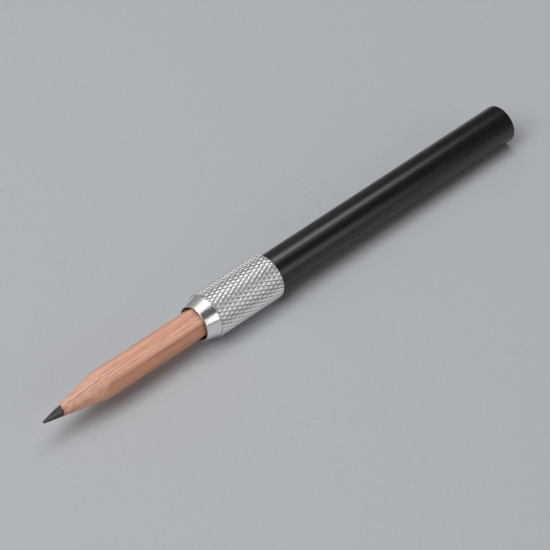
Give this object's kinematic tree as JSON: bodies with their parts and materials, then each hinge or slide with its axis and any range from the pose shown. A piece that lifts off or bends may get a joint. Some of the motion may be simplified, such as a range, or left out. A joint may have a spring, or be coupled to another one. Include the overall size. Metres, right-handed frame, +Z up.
{
  "type": "pencil extender",
  "caption": "Pencil extender: black tubular handle with a knurled screw collar and tapered nose, which clamps a short sharpened cedar pencil stub in a slotted collet.",
  "frame": {"origin": "centre of the footprint, on the plane that the collar rests on, under the pen's axis", "axes": "+X along the pen's axis from the point of the pencil to the tail of the barrel, +Z up"},
  "size_m": [0.1528, 0.0118, 0.0118],
  "materials": {
    "black_anodised": "satin black anodised",
    "bright_aluminium": "bright turned and knurled",
    "chuck_brass": "turned",
    "ring_steel": "turned",
    "cedar": "raw, unpainted",
    "graphite": "grey sheen"
  },
  "bodies": {
    "barrel": {"barrel_tube": "black_anodised", "end_plug": "black_anodised", "chuck_body": "chuck_brass"},
    "closing_ring": {"closing_ring": "ring_steel"},
    "collar": {"knurled_collar": "bright_aluminium"},
    "finger_1": {"collet_finger_1": "chuck_brass"},
    "finger_2": {"collet_finger_2": "chuck_brass"},
    "finger_3": {"collet_finger_3": "chuck_brass"},
    "finger_4": {"collet_finger_4": "chuck_brass"},
    "pencil": {"cedar_slat_front": "cedar", "cedar_slat_back": "cedar", "graphite_lead": "graphite"}
  },
  "joints": [
    {"name": "collar_advance", "type": "slide", "parent": "barrel", "child": "closing_ring", "axis": [-1, 0, 0], "range_m": [0, 0.00187]},
    {"name": "collar_turn", "type": "hinge", "parent": "closing_ring", "child": "collar", "pos_m": [-0.00415, 0, 0.0059], "axis": [-1, 0, 0], "range_deg": [0, 900.1]},
    {"name": "finger_1_flex", "type": "hinge", "parent": "barrel", "child": "finger_1", "pos_m": [-0.01345, -0.00313, 0.00903], "axis": [0, 0.7071, 0.7071], "range_deg": [0, 1.31]},
    {"name": "finger_2_flex", "type": "hinge", "parent": "barrel", "child": "finger_2", "pos_m": [-0.01345, 0.00313, 0.00903], "axis": [0, 0.7071, -0.7071], "range_deg": [0, 1.31]},
    {"name": "finger_3_flex", "type": "hinge", "parent": "barrel", "child": "finger_3", "pos_m": [-0.01345, 0.00313, 0.00278], "axis": [0, -0.7071, -0.7071], "range_deg": [0, 1.31]},
    {"name": "finger_4_flex", "type": "hinge", "parent": "barrel", "child": "finger_4", "pos_m": [-0.01345, -0.00313, 0.00278], "axis": [0, -0.7071, 0.7071], "range_deg": [0, 1.31]},
    {"name": "pencil_slide", "type": "slide", "parent": "barrel", "child": "pencil", "axis": [-1, 0, 0], "range_m": [-0.0478, 0.031]}
  ],
  "couplings": [
    {"joint": "collar_turn", "follows": "collar_advance", "rad_per_m": 8377.6},
    {"joint": "finger_1_flex", "follows": "collar_advance", "rad_per_m": 12.101},
    {"joint": "finger_2_flex", "follows": "collar_advance", "rad_per_m": 12.101},
    {"joint": "finger_3_flex", "follows": "collar_advance", "rad_per_m": 12.101},
    {"joint": "finger_4_flex", "follows": "collar_advance", "rad_per_m": 12.101}
  ]
}
